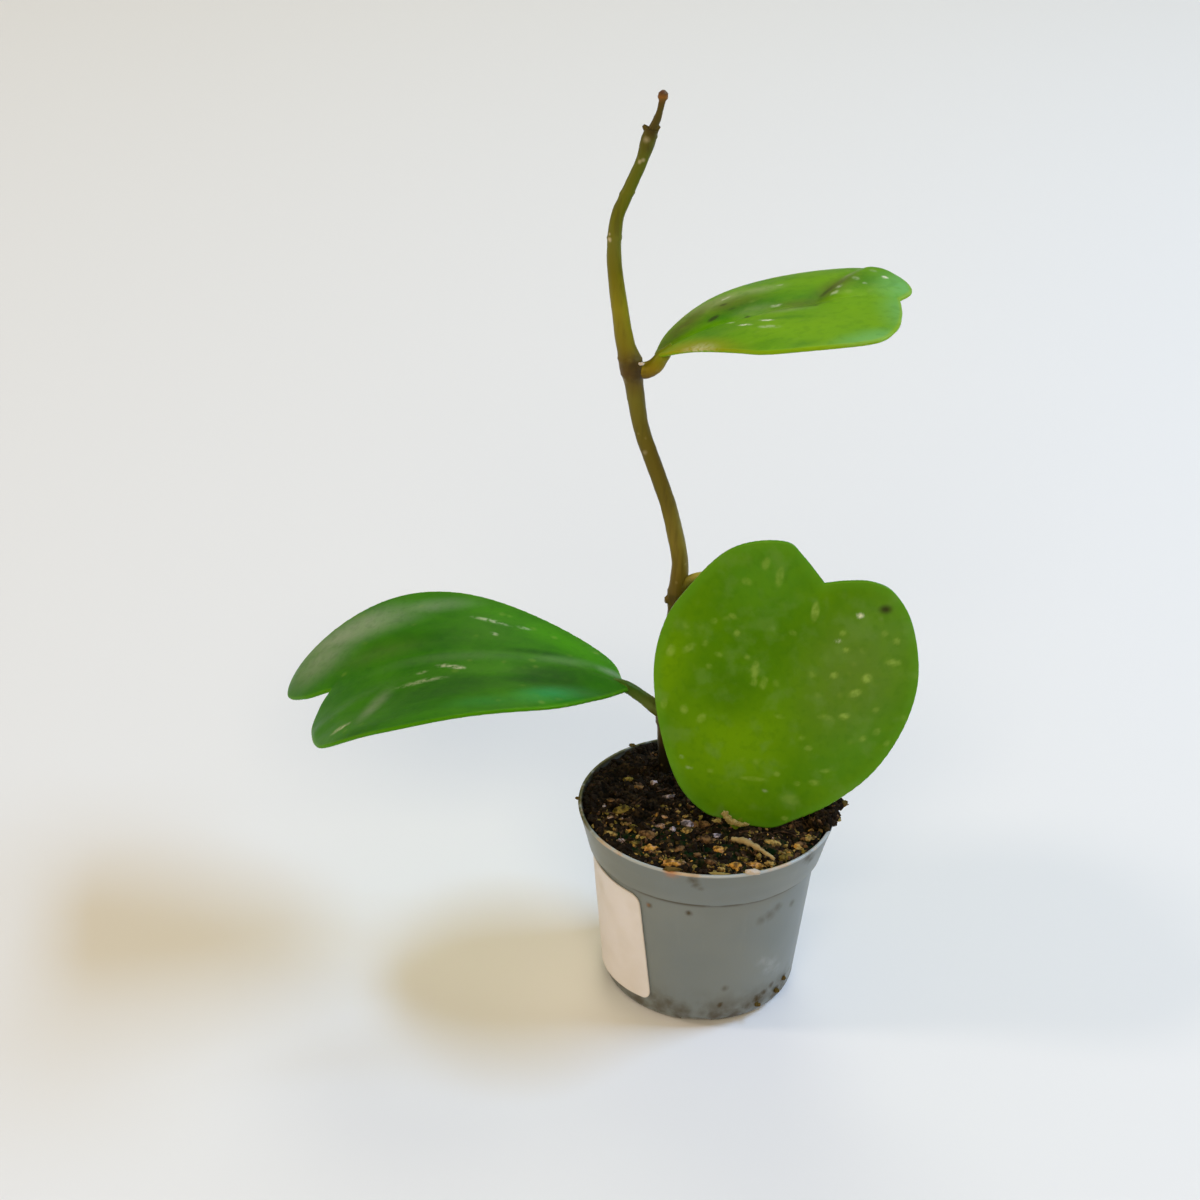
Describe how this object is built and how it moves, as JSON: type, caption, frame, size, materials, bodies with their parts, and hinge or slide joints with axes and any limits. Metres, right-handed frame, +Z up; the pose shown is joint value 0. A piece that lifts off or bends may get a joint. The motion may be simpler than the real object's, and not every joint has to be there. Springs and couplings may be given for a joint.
{
  "type": "potted sweetheart hoya",
  "caption": "Sweetheart hoya with thick heart-shaped leaves on a thin climbing stem, rooted in a small round grey nursery pot; stands on a shelf or windowsill.",
  "frame": {"origin": "centre of the pot's underside, on the surface the pot stands on", "axes": "+Z up; +X to the right and +Y to the back as the picture shows the plant, so the left leaf points along -X and -Y faces the viewer"},
  "size_m": [0.1476, 0.0777, 0.2105],
  "materials": {
    "pot_plastic": "satin moulded grey plastic",
    "label_paper": "matt pale paper",
    "potting_soil": "crumbly dark peat and bark",
    "root": "fibrous",
    "stem_bark": "smooth olive-brown bark",
    "dry_shoot": "dry brown bark",
    "young_shoot": "smooth green skin",
    "heart_leaf_skin": "waxy satin",
    "left_leaf_skin": "waxy satin",
    "upper_leaf_skin": "waxy satin"
  },
  "bodies": {
    "root": {"pot": "pot_plastic", "label": "label_paper", "soil": "potting_soil", "roots": "root", "stem": "stem_bark", "shoot_tip": "dry_shoot", "side_shoot": "young_shoot", "heart_leaf": "heart_leaf_skin", "left_leaf": "left_leaf_skin", "upper_leaf": "upper_leaf_skin"}
  },
  "joints": []
}
